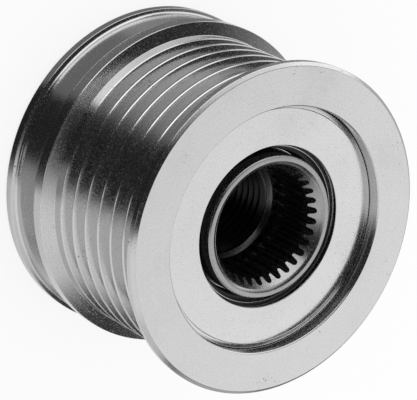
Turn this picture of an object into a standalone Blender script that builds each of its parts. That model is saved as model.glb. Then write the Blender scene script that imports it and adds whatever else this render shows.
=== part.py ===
"""Overrunning alternator pulley: a grooved ring that drives a splined hub through a one-way clutch.

The axis is Z. The front, where the serrations are, faces +Z, and the hub's rear end stands on Z = 0.
Sizes are in metres. Radii build up from the hub's bore outwards: hub, inner ring, needles, cup, ring.
Depths are counted from the grooved ring's front face towards the rear.
"""

import math

import bmesh
import bpy
from mathutils import Matrix, Vector

# Hub
SERRATION_COUNT = 33
SERRATION_TIP_RADIUS = 0.00915
SERRATION_HEIGHT = 0.00098
SERRATION_LENGTH = 0.0080
SERRATION_TIP_SHARE = 0.24
SERRATION_ROOT_SHARE = 0.32
HUB_WALL = 0.00173
HUB_MOUTH_LAND = 0.00029
HUB_MOUTH_WIDTH = 0.00056
HUB_MOUTH_DEPTH = 0.00030
LEAD_IN_HALF_ANGLE = 30.0
RELIEF_LENGTH = 0.00060
RELIEF_CLEARANCE = 0.00010
HUB_EDGE_CHAMFER = 0.00020
HUB_PROUD_FRONT = 0.00030
HUB_PROUD_REAR = 0.00050
THREAD_MINOR_RADIUS = 0.00720
THREAD_MOUTH_CHAMFER = 0.00150
PILOT_RADIUS = 0.00855
PILOT_DEPTH = 0.00400
PILOT_CHAMFER = 0.00060

# Inner ring with needle races and clutch ramps
INNER_RING_WALL = 0.00428
RAMP_COUNT = 8
RAMP_SHALLOW = 0.00030
RAMP_DEEP = 0.00090
RAMP_SHARE = 0.55

# Needle bearings
NEEDLE_COUNT = 12
NEEDLE_DIAMETER = 0.00250
NEEDLE_END_LAND = 0.00080
NEEDLE_CAGE_LENGTH = 0.0080
CAGE_INSET = 0.00035

# One-way clutch
CLUTCH_ROLLER_DIAMETER = 0.00305
CLUTCH_ROLLER_END_LAND = 0.00080
SPRING_THICKNESS = 0.00020
SPRING_WAVE = 0.00110
SPRING_HEIGHT = 0.00120
SPRING_FOLDS = 4

# Drawn outer cup
CUP_WALL = 0.00150
CUP_FRONT_CORNER_RADIUS = 0.00020
CUP_REAR_CORNER_RADIUS = 0.00160
CUP_RECESS_FRONT = 0.00214
CUP_RECESS_REAR = 0.00060
CUP_FRONT_LIP_CLEARANCE = 0.00163
CUP_REAR_LIP_WIDTH = 0.00320

# Seals and thrust washers
SEAL_RING_THICKNESS = 0.00080
SEAL_RING_CLEARANCE = 0.00114
SEAL_LIP_LENGTH = 0.00160
SEAL_LIP_BASE = 0.00070
SEAL_LIP_ROOT_WIDTH = 0.00240
SEAL_LIP_TIP_WIDTH = 0.00080
WASHER_THICKNESS = 0.00100
WASHER_WIDTH = 0.00400

# Grooved ring
RING_LENGTH = 0.0370
RING_WALL = 0.00209
RECESS_MOUTH_CHAMFER = 0.00030
REAR_MOUTH_CHAMFER = 0.00050
GROOVE_COUNT = 6
GROOVE_PITCH = 0.00356
GROOVE_ANGLE = 40.0
GROOVE_DEPTH = 0.00275
GROOVE_MOUTH = 0.00300
FIRST_GROOVE_DEPTH = 0.00435
FLANGE_HEIGHT = 0.00220
FRONT_FLANGE_CHAMFER = 0.00050
FRONT_FLANGE_RIM = 0.00155
FLANGE_EDGE_CHAMFER = 0.00050
REAR_LAND = 0.00195
REAR_FLANGE_RUN = 0.00070
REAR_FLANGE_EDGE = 0.00015
REAR_FLANGE_RIM = 0.00280
CHANNEL_DEPTH = 0.00063
LIP_RIM = 0.00160
LIP_CHAMFER = 0.00050
REAR_EDGE_CHAMFER = 0.00020

# Clearances
PRESS_GAP = 0.00006
RUNNING_GAP = 0.00010
STACK_GAP = 0.00010
POCKET_GAP = 0.00012

# Facets round the axis
RING_SEGMENTS = 56
INNER_SEGMENTS = 40
NEEDLE_SEGMENTS = 8
ROLLER_SEGMENTS = 10

FRONT_Z = RING_LENGTH + HUB_PROUD_REAR
HUB_RADIUS = SERRATION_TIP_RADIUS + SERRATION_HEIGHT + HUB_WALL
HUB_FRONT_DEPTH = CUP_RECESS_FRONT - HUB_PROUD_FRONT
HUB_REAR_DEPTH = RING_LENGTH + HUB_PROUD_REAR
RACE_RADIUS = HUB_RADIUS + PRESS_GAP + INNER_RING_WALL
CUP_INNER_RADIUS = RACE_RADIUS + NEEDLE_DIAMETER + 2 * RUNNING_GAP
CUP_OUTER_RADIUS = CUP_INNER_RADIUS + CUP_WALL
CUP_REAR_DEPTH = RING_LENGTH - CUP_RECESS_REAR
BORE_RADIUS = CUP_OUTER_RADIUS + PRESS_GAP
GROOVE_FLOOR_RADIUS = BORE_RADIUS + RING_WALL
CREST_RADIUS = GROOVE_FLOOR_RADIUS + GROOVE_DEPTH
RING_RADIUS = CREST_RADIUS + FLANGE_HEIGHT

# Depths of the stack inside the cup, from its front lip and from its rear lip
FRONT_SEAL_DEPTH = CUP_RECESS_FRONT + CUP_WALL + STACK_GAP
FRONT_WASHER_DEPTH = FRONT_SEAL_DEPTH + SEAL_RING_THICKNESS + STACK_GAP
FRONT_CAGE_DEPTH = FRONT_WASHER_DEPTH + WASHER_THICKNESS + 2 * STACK_GAP
FRONT_CAGE_END = FRONT_CAGE_DEPTH + NEEDLE_CAGE_LENGTH
REAR_SEAL_DEPTH = CUP_REAR_DEPTH - CUP_WALL - STACK_GAP - SEAL_RING_THICKNESS
REAR_WASHER_DEPTH = REAR_SEAL_DEPTH - STACK_GAP - WASHER_THICKNESS
REAR_CAGE_DEPTH = REAR_WASHER_DEPTH - 2 * STACK_GAP - NEEDLE_CAGE_LENGTH
CLUTCH_DEPTH = FRONT_CAGE_END + 3 * STACK_GAP
CLUTCH_END = REAR_CAGE_DEPTH - 3 * STACK_GAP
SEAL_LIP_REACH = SEAL_RING_THICKNESS + STACK_GAP + SEAL_LIP_LENGTH
INNER_RING_DEPTH = FRONT_SEAL_DEPTH + SEAL_LIP_REACH + 2 * STACK_GAP
INNER_RING_END = REAR_SEAL_DEPTH + SEAL_RING_THICKNESS - SEAL_LIP_REACH - 2 * STACK_GAP


def clear_scene() -> None:
    """Remove whatever the scene holds, so that the script can be run again."""
    for item in list(bpy.data.objects):
        bpy.data.objects.remove(item, do_unlink=True)


def make_material(
    name: str, colour: tuple[float, float, float], roughness: float, metallic: float
) -> bpy.types.Material:
    """Make a material with one Principled BSDF.

    Args:
        name: Name of the material.
        colour: Linear base colour.
        roughness: Surface roughness.
        metallic: 1 for bare metal, 0 for the rest.

    Returns:
        The material.
    """
    material = bpy.data.materials.new(name)
    material.use_nodes = True
    shader = material.node_tree.nodes["Principled BSDF"]
    shader.inputs["Base Color"].default_value = (*colour, 1.0)
    shader.inputs["Roughness"].default_value = roughness
    shader.inputs["Metallic"].default_value = metallic
    material.diffuse_color = (*colour, 1.0)
    return material


def make_axis(name: str) -> bpy.types.Object:
    """Add an empty on the common axis for the pieces that turn together."""
    empty = bpy.data.objects.new(name, None)
    empty.empty_display_size = 0.01
    bpy.context.collection.objects.link(empty)
    return empty


def make_object(
    name: str,
    mesh: bpy.types.Mesh,
    parent: bpy.types.Object | None,
    placed: Matrix | None = None,
) -> bpy.types.Object:
    """Link a mesh as a named object under its parent.

    Args:
        name: Name of the object.
        mesh: Its mesh.
        parent: The empty that carries it, or None.
        placed: Where it stands under the parent.

    Returns:
        The object.
    """
    made = bpy.data.objects.new(name, mesh)
    bpy.context.collection.objects.link(made)
    made.parent = parent
    if placed is not None:
        made.matrix_local = placed
    return made


def close_mesh(
    bm: bmesh.types.BMesh, name: str, material: bpy.types.Material
) -> bpy.types.Mesh:
    """Turn a bmesh into a mesh whose faces point out and whose round sides are smooth."""
    bmesh.ops.recalc_face_normals(bm, faces=bm.faces)
    if bm.calc_volume(signed=True) < 0:
        bmesh.ops.reverse_faces(bm, faces=bm.faces)
    mesh = bpy.data.meshes.new(name)
    bm.to_mesh(mesh)
    bm.free()
    mesh.materials.append(material)
    mesh.shade_smooth()
    mesh.set_sharp_from_angle(angle=math.radians(28))
    return mesh


def turned_mesh(
    name: str,
    section: list[tuple[float, float]],
    segments: int,
    material: bpy.types.Material,
) -> bpy.types.Mesh:
    """Spin a closed section round the axis.

    Args:
        name: Name of the mesh.
        section: Corners as (radius, depth below the front face), in order round the section.
        segments: Facets round the axis.
        material: The material.

    Returns:
        A closed ring.
    """
    bm = bmesh.new()
    corners = [bm.verts.new((radius, 0.0, FRONT_Z - depth)) for radius, depth in section]
    edges = [
        bm.edges.new((corners[i], corners[(i + 1) % len(corners)]))
        for i in range(len(corners))
    ]
    bmesh.ops.spin(
        bm,
        geom=corners + edges,
        cent=(0.0, 0.0, 0.0),
        axis=(0.0, 0.0, 1.0),
        dvec=(0.0, 0.0, 0.0),
        angle=math.tau,
        steps=segments,
        use_merge=True,
    )
    return close_mesh(bm, name, material)


def prism_mesh(
    name: str,
    outline: list[tuple[float, float]],
    low: float,
    high: float,
    material: bpy.types.Material,
) -> bpy.types.Mesh:
    """Extrude an outline in the XY plane from one height to another."""
    bm = bmesh.new()
    face = bm.faces.new([bm.verts.new((x, y, low)) for x, y in outline])
    grown = bmesh.ops.extrude_face_region(bm, geom=[face])
    raised = [v for v in grown["geom"] if isinstance(v, bmesh.types.BMVert)]
    bmesh.ops.translate(bm, verts=raised, vec=(0.0, 0.0, high - low))
    return close_mesh(bm, name, material)


def roller_mesh(
    name: str,
    diameter: float,
    length: float,
    segments: int,
    material: bpy.types.Material,
) -> bpy.types.Mesh:
    """Make an upright roller centred on its own middle."""
    bm = bmesh.new()
    bmesh.ops.create_cone(
        bm,
        cap_ends=True,
        segments=segments,
        radius1=diameter / 2,
        radius2=diameter / 2,
        depth=length,
    )
    return close_mesh(bm, name, material)


def cut(target: bpy.types.Object, cutter: bpy.types.Object) -> None:
    """Cut one object with another, which is then left out of the model."""
    cutter.hide_render = True
    cutter.display_type = "WIRE"
    modifier = target.modifiers.new(f"cut_{cutter.name}", "BOOLEAN")
    modifier.operation = "DIFFERENCE"
    modifier.solver = "EXACT"
    modifier.object = cutter


def groove_section(centre: float) -> list[tuple[float, float]]:
    """Corners of one belt groove, from its front crest to its rear crest."""
    half_mouth = GROOVE_MOUTH / 2
    wall = math.tan(math.radians(GROOVE_ANGLE / 2))
    half_floor = half_mouth - wall * GROOVE_DEPTH
    return [
        (CREST_RADIUS, centre - half_mouth),
        (GROOVE_FLOOR_RADIUS, centre - half_floor),
        (GROOVE_FLOOR_RADIUS, centre + half_floor),
        (CREST_RADIUS, centre + half_mouth),
    ]


def build_pulley_ring(parent: bpy.types.Object, steel: bpy.types.Material) -> None:
    """Turn the grooved ring from one blank."""
    first_crest = FIRST_GROOVE_DEPTH - GROOVE_MOUTH / 2
    wall = math.tan(math.radians(GROOVE_ANGLE / 2))
    edge_radius = RING_RADIUS - FLANGE_EDGE_CHAMFER
    edge_depth = first_crest - wall * (edge_radius - CREST_RADIUS)
    section = [
        (BORE_RADIUS + RECESS_MOUTH_CHAMFER, 0.0),
        (RING_RADIUS - FRONT_FLANGE_CHAMFER, 0.0),
        (RING_RADIUS, FRONT_FLANGE_CHAMFER),
        (RING_RADIUS, FRONT_FLANGE_RIM),
        (edge_radius, edge_depth),
    ]
    for index in range(GROOVE_COUNT):
        section += groove_section(FIRST_GROOVE_DEPTH + index * GROOVE_PITCH)
    land_start = section[-1][1]
    flange_start = land_start + REAR_LAND
    rim_start = flange_start + REAR_FLANGE_RUN
    rim_end = rim_start + REAR_FLANGE_RIM - REAR_FLANGE_RUN
    lip_start = RING_LENGTH - LIP_RIM
    floor_radius = RING_RADIUS - CHANNEL_DEPTH
    section += [
        (CREST_RADIUS, flange_start),
        (RING_RADIUS - REAR_FLANGE_EDGE, rim_start - REAR_FLANGE_EDGE),
        (RING_RADIUS, rim_start),
        (RING_RADIUS, rim_end),
        (floor_radius, rim_end + CHANNEL_DEPTH / 10),
        (floor_radius, lip_start - LIP_CHAMFER),
        (RING_RADIUS, lip_start),
        (RING_RADIUS, RING_LENGTH - REAR_EDGE_CHAMFER),
        (RING_RADIUS - REAR_EDGE_CHAMFER, RING_LENGTH),
        (BORE_RADIUS + REAR_MOUTH_CHAMFER, RING_LENGTH),
        (BORE_RADIUS, RING_LENGTH - REAR_MOUTH_CHAMFER),
        (BORE_RADIUS, RECESS_MOUTH_CHAMFER),
    ]
    mesh = turned_mesh("pulley_ring", section, RING_SEGMENTS, steel)
    make_object("pulley_ring", mesh, parent)


def bend(
    centre: tuple[float, float], radius: float, start: float, stop: float, steps: int
) -> list[tuple[float, float]]:
    """Corners along an arc of a section, with angles in degrees from outwards towards the front."""
    corners = []
    for step in range(steps + 1):
        angle = math.radians(start + (stop - start) * step / steps)
        corners.append(
            (centre[0] + radius * math.cos(angle), centre[1] - radius * math.sin(angle))
        )
    return corners


def build_outer_cup(parent: bpy.types.Object, steel: bpy.types.Material) -> None:
    """Draw the cup: a sleeve with a bent front lip and a short rear lip rolled in."""
    edge = CUP_FRONT_CORNER_RADIUS
    corner = CUP_REAR_CORNER_RADIUS
    front = (CUP_OUTER_RADIUS - edge, CUP_RECESS_FRONT + edge)
    rear = (CUP_OUTER_RADIUS - corner, CUP_REAR_DEPTH - corner)
    front_bore = HUB_RADIUS + CUP_FRONT_LIP_CLEARANCE
    rear_bore = CUP_INNER_RADIUS - CUP_REAR_LIP_WIDTH
    section = [(front_bore, CUP_RECESS_FRONT)]
    section += bend(front, edge, 90, 0, 1)
    section += bend(rear, corner, 0, -90, 3)
    section += [
        (rear_bore, CUP_REAR_DEPTH),
        (rear_bore, CUP_REAR_DEPTH - CUP_WALL),
        (CUP_INNER_RADIUS, CUP_REAR_DEPTH - CUP_WALL),
        (CUP_INNER_RADIUS, CUP_RECESS_FRONT + CUP_WALL),
        (front_bore, CUP_RECESS_FRONT + CUP_WALL),
    ]
    mesh = turned_mesh("outer_cup", section, RING_SEGMENTS, steel)
    make_object("outer_cup", mesh, parent)


def serration_outline() -> list[tuple[float, float]]:
    """Outline of the broach that cuts the spaces between the hub's teeth."""
    root_radius = SERRATION_TIP_RADIUS + SERRATION_HEIGHT
    inner_radius = SERRATION_TIP_RADIUS - SERRATION_HEIGHT / 4
    pitch = math.tau / SERRATION_COUNT
    root_half = pitch * SERRATION_ROOT_SHARE / 2
    tip_half = pitch * (1 - SERRATION_TIP_SHARE) / 2
    slope = (tip_half - root_half) / SERRATION_HEIGHT
    inner_half = tip_half + slope * (SERRATION_TIP_RADIUS - inner_radius)
    outline = []
    for tooth in range(SERRATION_COUNT):
        middle = pitch * tooth
        for radius, offset in (
            (inner_radius, -inner_half),
            (root_radius, -root_half),
            (root_radius, root_half),
            (inner_radius, inner_half),
        ):
            angle = middle + offset
            outline.append((radius * math.cos(angle), radius * math.sin(angle)))
    return outline


def build_hub(parent: bpy.types.Object, steel: bpy.types.Material) -> None:
    """Turn the hub and broach its serrations."""
    root_radius = SERRATION_TIP_RADIUS + SERRATION_HEIGHT
    front = HUB_FRONT_DEPTH
    rear = HUB_REAR_DEPTH
    mouth_radius = root_radius + HUB_MOUTH_LAND
    lead_in_slope = math.tan(math.radians(LEAD_IN_HALF_ANGLE))
    lead_in_end = front + HUB_MOUTH_DEPTH + (mouth_radius - SERRATION_TIP_RADIUS) / lead_in_slope
    serration_end = lead_in_end + SERRATION_LENGTH
    relief_end = serration_end + RELIEF_LENGTH
    relief_radius = root_radius + RELIEF_CLEARANCE
    thread_mouth = THREAD_MINOR_RADIUS + THREAD_MOUTH_CHAMFER
    section = [
        (mouth_radius + HUB_MOUTH_WIDTH, front),
        (HUB_RADIUS - HUB_EDGE_CHAMFER, front),
        (HUB_RADIUS, front + HUB_EDGE_CHAMFER),
        (HUB_RADIUS, rear - HUB_EDGE_CHAMFER),
        (HUB_RADIUS - HUB_EDGE_CHAMFER, rear),
        (PILOT_RADIUS + PILOT_CHAMFER, rear),
        (PILOT_RADIUS, rear - PILOT_CHAMFER),
        (PILOT_RADIUS, rear - PILOT_DEPTH),
        (THREAD_MINOR_RADIUS, rear - PILOT_DEPTH - PILOT_CHAMFER),
        (THREAD_MINOR_RADIUS, relief_end + THREAD_MOUTH_CHAMFER),
        (thread_mouth, relief_end),
        (relief_radius, relief_end),
        (relief_radius, serration_end),
        (SERRATION_TIP_RADIUS, serration_end),
        (SERRATION_TIP_RADIUS, lead_in_end),
        (mouth_radius, front + HUB_MOUTH_DEPTH),
    ]
    segments = 2 * SERRATION_COUNT
    mesh = turned_mesh("hub", section, segments, steel)
    hub = make_object("hub", mesh, parent)
    broach = make_object(
        "serration_broach",
        prism_mesh(
            "serration_broach",
            serration_outline(),
            FRONT_Z - serration_end - RELIEF_LENGTH / 2,
            FRONT_Z,
            steel,
        ),
        parent,
    )
    cut(hub, broach)


def ramp_radius(angle: float) -> float:
    """Radius of the inner ring's clutch section at an angle: a wedge surface, then a land."""
    sector = math.tau / RAMP_COUNT
    share = (angle % sector) / sector
    if share > RAMP_SHARE:
        return RACE_RADIUS
    along = share / RAMP_SHARE
    return RACE_RADIUS - RAMP_DEEP + (RAMP_DEEP - RAMP_SHALLOW) * along


def circle(
    bm: bmesh.types.BMesh, radius_at, depth: float, segments: int
) -> list[bmesh.types.BMVert]:
    """Add a loop of corners whose radius follows a function of the angle."""
    corners = []
    for step in range(segments):
        angle = math.tau * step / segments
        radius = radius_at(angle)
        corners.append(
            bm.verts.new(
                (radius * math.cos(angle), radius * math.sin(angle), FRONT_Z - depth)
            )
        )
    return corners


def skin(
    bm: bmesh.types.BMesh, loop: list[bmesh.types.BMVert], after: list[bmesh.types.BMVert]
) -> None:
    """Join two loops of corners with a band of faces."""
    count = len(loop)
    for step in range(count):
        following = (step + 1) % count
        bm.faces.new((loop[step], loop[following], after[following], after[step]))


def build_inner_ring(parent: bpy.types.Object, steel: bpy.types.Material) -> None:
    """Loft the inner ring through loops: round races at the ends and ramps in the middle."""
    bore = HUB_RADIUS + PRESS_GAP
    segments = RAMP_COUNT * 8

    def race(_angle: float) -> float:
        return RACE_RADIUS

    def bore_wall(_angle: float) -> float:
        return bore / math.cos(math.pi / segments)

    loops = [
        (bore_wall, INNER_RING_DEPTH),
        (race, INNER_RING_DEPTH),
        (race, CLUTCH_DEPTH),
        (ramp_radius, CLUTCH_DEPTH + STACK_GAP),
        (ramp_radius, CLUTCH_END - STACK_GAP),
        (race, CLUTCH_END),
        (race, INNER_RING_END),
        (bore_wall, INNER_RING_END),
    ]
    bm = bmesh.new()
    rows = [circle(bm, radius_at, depth, segments) for radius_at, depth in loops]
    for index, row in enumerate(rows):
        skin(bm, row, rows[(index + 1) % len(rows)])
    make_object("inner_ring", close_mesh(bm, "inner_ring", steel), parent)


def build_cage(
    name: str,
    parent: bpy.types.Object,
    material: bpy.types.Material,
    start: float,
    stop: float,
    count: int,
    widths: tuple[float, float],
    end_land: float,
) -> None:
    """Make a cage ring and cut its row of pockets.

    Args:
        name: Name of the cage.
        parent: The empty that carries it.
        material: The material.
        start: Depth of its front end.
        stop: Depth of its rear end.
        count: Number of pockets.
        widths: How far a pocket reaches from its roller's middle, backwards and forwards round the axis.
        end_land: Length of solid ring beyond the pockets.
    """
    inner = RACE_RADIUS + CAGE_INSET
    outer = CUP_INNER_RADIUS - CAGE_INSET
    section = [(inner, start), (outer, start), (outer, stop), (inner, stop)]
    cage = make_object(
        name, turned_mesh(name, section, INNER_SEGMENTS, material), parent
    )
    bm = bmesh.new()
    middle = (start + stop) / 2
    length = (stop - start) - 2 * end_land + 2 * POCKET_GAP
    thickness = (outer - inner) * 2
    for index in range(count):
        turn = Matrix.Rotation(math.tau * index / count, 4, "Z")
        centre = Vector(
            ((inner + outer) / 2, (widths[1] - widths[0]) / 2, FRONT_Z - middle)
        )
        size = Matrix.Diagonal((thickness, widths[0] + widths[1], length, 1.0))
        bmesh.ops.create_cube(
            bm, size=1.0, matrix=turn @ Matrix.Translation(centre) @ size
        )
    pockets = make_object(f"{name}_pockets", close_mesh(bm, f"{name}_pockets", material), parent)
    cut(cage, pockets)


def build_needle_bearing(
    name: str,
    parent: bpy.types.Object,
    start: float,
    steel: bpy.types.Material,
    nylon: bpy.types.Material,
) -> None:
    """Build one needle cage and its needles, which go round with it."""
    reach = NEEDLE_DIAMETER / 2 + POCKET_GAP
    build_cage(
        f"{name}_needle_cage",
        parent,
        nylon,
        start,
        start + NEEDLE_CAGE_LENGTH,
        NEEDLE_COUNT,
        (reach, reach),
        NEEDLE_END_LAND,
    )
    length = NEEDLE_CAGE_LENGTH - 2 * NEEDLE_END_LAND
    mesh = roller_mesh(
        f"{name}_needle", NEEDLE_DIAMETER, length, NEEDLE_SEGMENTS, steel
    )
    orbit = (RACE_RADIUS + CUP_INNER_RADIUS) / 2
    height = FRONT_Z - start - NEEDLE_CAGE_LENGTH / 2
    for index in range(NEEDLE_COUNT):
        turn = Matrix.Rotation(math.tau * index / NEEDLE_COUNT, 4, "Z")
        placed = turn @ Matrix.Translation((orbit, 0.0, height))
        make_object(f"{name}_needle_{index + 1:02d}", mesh, parent, placed)


def spring_outline() -> list[tuple[float, float]]:
    """Outline of a folded leaf spring, seen along the radius."""
    length = CLUTCH_END - CLUTCH_DEPTH - 2 * CLUTCH_ROLLER_END_LAND - 4 * POCKET_GAP
    step = length / SPRING_FOLDS
    centre = [
        (
            -length / 2 + step * index,
            (SPRING_WAVE - SPRING_THICKNESS) * (index % 2 - 0.5),
        )
        for index in range(SPRING_FOLDS + 1)
    ]
    half = SPRING_THICKNESS / 2
    upper = [(x, y + half) for x, y in centre]
    lower = [(x, y - half) for x, y in reversed(centre)]
    return upper + lower


def build_clutch(
    parent: bpy.types.Object,
    steel: bpy.types.Material,
    spring_steel: bpy.types.Material,
    nylon: bpy.types.Material,
) -> None:
    """Build the one-way clutch between the inner ring's ramps and the cup."""
    roller_radius = CLUTCH_ROLLER_DIAMETER / 2
    orbit = CUP_INNER_RADIUS - RUNNING_GAP - roller_radius
    sector = math.tau / RAMP_COUNT
    roller_angle = sector * RAMP_SHARE * 0.55
    spring_reach = roller_radius + SPRING_WAVE + 3 * POCKET_GAP
    build_cage(
        "clutch_cage",
        parent,
        nylon,
        CLUTCH_DEPTH,
        CLUTCH_END,
        RAMP_COUNT,
        (spring_reach, roller_radius + POCKET_GAP),
        CLUTCH_ROLLER_END_LAND,
    )
    for name in ("clutch_cage", "clutch_cage_pockets"):
        bpy.data.objects[name].rotation_euler.z = roller_angle
    length = CLUTCH_END - CLUTCH_DEPTH - 2 * CLUTCH_ROLLER_END_LAND
    height = FRONT_Z - (CLUTCH_DEPTH + CLUTCH_END) / 2
    roller = roller_mesh(
        "clutch_roller", CLUTCH_ROLLER_DIAMETER, length, ROLLER_SEGMENTS, steel
    )
    spring = prism_mesh(
        "clutch_spring",
        spring_outline(),
        -SPRING_HEIGHT / 2,
        SPRING_HEIGHT / 2,
        spring_steel,
    )
    lay = Matrix(((0, 0, 1, 0), (0, 1, 0, 0), (-1, 0, 0, 0), (0, 0, 0, 1)))
    spring_orbit = (RACE_RADIUS + CUP_INNER_RADIUS) / 2
    spring_offset = roller_radius + POCKET_GAP + SPRING_WAVE / 2
    for index in range(RAMP_COUNT):
        turn = Matrix.Rotation(sector * index + roller_angle, 4, "Z")
        placed = turn @ Matrix.Translation((orbit, 0.0, height))
        make_object(f"clutch_roller_{index + 1}", roller, parent, placed)
        placed = turn @ Matrix.Translation((spring_orbit, -spring_offset, height)) @ lay
        make_object(f"clutch_spring_{index + 1}", spring, parent, placed)


def build_seal(
    name: str,
    parent: bpy.types.Object,
    depth: float,
    inward: float,
    steel: bpy.types.Material,
    rubber: bpy.types.Material,
) -> None:
    """Build a seal: a steel ring against the cup's lip and a rubber lip bonded behind it.

    Args:
        name: front or rear.
        parent: The empty that carries it.
        depth: Depth of the steel ring's outer face.
        inward: 1 where the inside of the pulley lies deeper, -1 where it lies nearer the front.
        steel: Material of the ring.
        rubber: Material of the lip.
    """
    outer = CUP_INNER_RADIUS - RUNNING_GAP
    inner = HUB_RADIUS + SEAL_RING_CLEARANCE
    back = depth + inward * SEAL_RING_THICKNESS
    section = [(inner, depth), (outer, depth), (outer, back), (inner, back)]
    mesh = turned_mesh(f"{name}_seal_ring", section, INNER_SEGMENTS, steel)
    make_object(f"{name}_seal_ring", mesh, parent)
    touch = HUB_RADIUS + 2 * PRESS_GAP
    face = back + inward * STACK_GAP
    shoulder = face + inward * SEAL_LIP_BASE
    tip = face + inward * SEAL_LIP_LENGTH
    section = [
        (touch + SEAL_LIP_TIP_WIDTH / 2, face),
        (touch + SEAL_LIP_ROOT_WIDTH, face),
        (touch + SEAL_LIP_ROOT_WIDTH, shoulder),
        (touch + SEAL_LIP_TIP_WIDTH, tip),
        (touch, tip),
    ]
    mesh = turned_mesh(f"{name}_seal_lip", section, INNER_SEGMENTS, rubber)
    make_object(f"{name}_seal_lip", mesh, parent)


def build_washer(
    name: str, parent: bpy.types.Object, depth: float, steel: bpy.types.Material
) -> None:
    """Build a thrust washer between a seal ring and a needle cage."""
    outer = CUP_INNER_RADIUS - RUNNING_GAP
    inner = outer - WASHER_WIDTH
    back = depth + WASHER_THICKNESS
    section = [(inner, depth), (outer, depth), (outer, back), (inner, back)]
    make_object(name, turned_mesh(name, section, INNER_SEGMENTS, steel), parent)


def main() -> None:
    """Build every piece of the pulley."""
    clear_scene()
    turned_steel = make_material("turned_steel", (0.56, 0.56, 0.57), 0.30, 1.0)
    drawn_steel = make_material("drawn_steel", (0.60, 0.60, 0.61), 0.34, 1.0)
    hub_steel = make_material("hub_steel", (0.50, 0.50, 0.51), 0.32, 1.0)
    bearing_steel = make_material("bearing_steel", (0.62, 0.62, 0.63), 0.18, 1.0)
    seal_steel = make_material("seal_steel", (0.45, 0.45, 0.46), 0.36, 1.0)
    spring_steel = make_material("spring_steel", (0.40, 0.40, 0.42), 0.30, 1.0)
    rubber = make_material("seal_rubber", (0.012, 0.012, 0.012), 0.65, 0.0)
    nylon = make_material("cage_nylon", (0.55, 0.50, 0.38), 0.50, 0.0)

    hub_axis = make_axis("hub_axis")
    pulley_axis = make_axis("pulley_axis")
    front_axis = make_axis("front_needle_axis")
    rear_axis = make_axis("rear_needle_axis")

    build_pulley_ring(pulley_axis, turned_steel)
    build_outer_cup(pulley_axis, drawn_steel)
    build_seal("front", pulley_axis, FRONT_SEAL_DEPTH, 1.0, seal_steel, rubber)
    rear_face = REAR_SEAL_DEPTH + SEAL_RING_THICKNESS
    build_seal("rear", pulley_axis, rear_face, -1.0, seal_steel, rubber)
    build_washer("front_thrust_washer", pulley_axis, FRONT_WASHER_DEPTH, bearing_steel)
    build_washer("rear_thrust_washer", pulley_axis, REAR_WASHER_DEPTH, bearing_steel)
    build_hub(hub_axis, hub_steel)
    build_inner_ring(hub_axis, bearing_steel)
    build_clutch(hub_axis, bearing_steel, spring_steel, nylon)
    build_needle_bearing("front", front_axis, FRONT_CAGE_DEPTH, bearing_steel, nylon)
    build_needle_bearing("rear", rear_axis, REAR_CAGE_DEPTH, bearing_steel, nylon)


main()
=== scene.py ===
"""Dressed model of an overrunning alternator pulley, standing on its rear end with the front up.

Depths are counted from the grooved ring's front face towards the rear, radii from the common axis.
"""

from __future__ import annotations

import logging
import math
from collections.abc import Iterable, Sequence
from dataclasses import dataclass
from enum import Enum

import bmesh
import bpy
from mathutils import Matrix, Vector


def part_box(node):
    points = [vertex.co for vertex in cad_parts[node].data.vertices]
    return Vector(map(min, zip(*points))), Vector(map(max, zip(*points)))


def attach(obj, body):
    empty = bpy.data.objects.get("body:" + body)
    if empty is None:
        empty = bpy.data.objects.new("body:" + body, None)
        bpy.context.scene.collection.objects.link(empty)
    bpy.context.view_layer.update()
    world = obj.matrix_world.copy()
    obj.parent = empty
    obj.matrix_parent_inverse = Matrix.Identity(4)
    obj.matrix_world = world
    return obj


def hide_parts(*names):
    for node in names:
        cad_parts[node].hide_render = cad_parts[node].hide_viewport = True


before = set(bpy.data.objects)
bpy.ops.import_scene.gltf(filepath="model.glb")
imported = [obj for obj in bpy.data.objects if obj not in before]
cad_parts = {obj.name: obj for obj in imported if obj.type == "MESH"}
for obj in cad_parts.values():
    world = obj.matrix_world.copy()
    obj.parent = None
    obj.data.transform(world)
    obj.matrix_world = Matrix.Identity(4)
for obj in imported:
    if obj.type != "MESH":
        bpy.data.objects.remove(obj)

LOG = logging.getLogger("pulley")
MM = 0.001
BUMP_DISTANCE = 0.02 * MM
STAINS_PER_METRE = 85.0
PITS_PER_METRE = 2600.0
GRAINS_PER_METRE = 4200.0
SPECKS_PER_METRE = 1500.0
SPECK_GROUPS_PER_METRE = 210.0
MOULD_GRAINS_PER_METRE = 2400.0
MOULD_CLOUDS_PER_METRE = 160.0
WHITE = (1.0, 1.0, 1.0, 1.0)
Point = tuple[float, float]
Corner = tuple[float, ...]


class Body(Enum):
    """The bodies that a piece can ride on."""

    HUB = "hub_body"
    PULLEY = "pulley_body"


class Slot(Enum):
    """Material slots."""

    RING = "turned_steel"
    CUP = "drawn_steel"
    HUB = "hub_steel"
    BEARING = "bearing_steel"
    SEAL = "seal_steel"
    SPRING = "spring_steel"
    RUBBER = "seal_rubber"
    NYLON = "cage_nylon"


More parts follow.
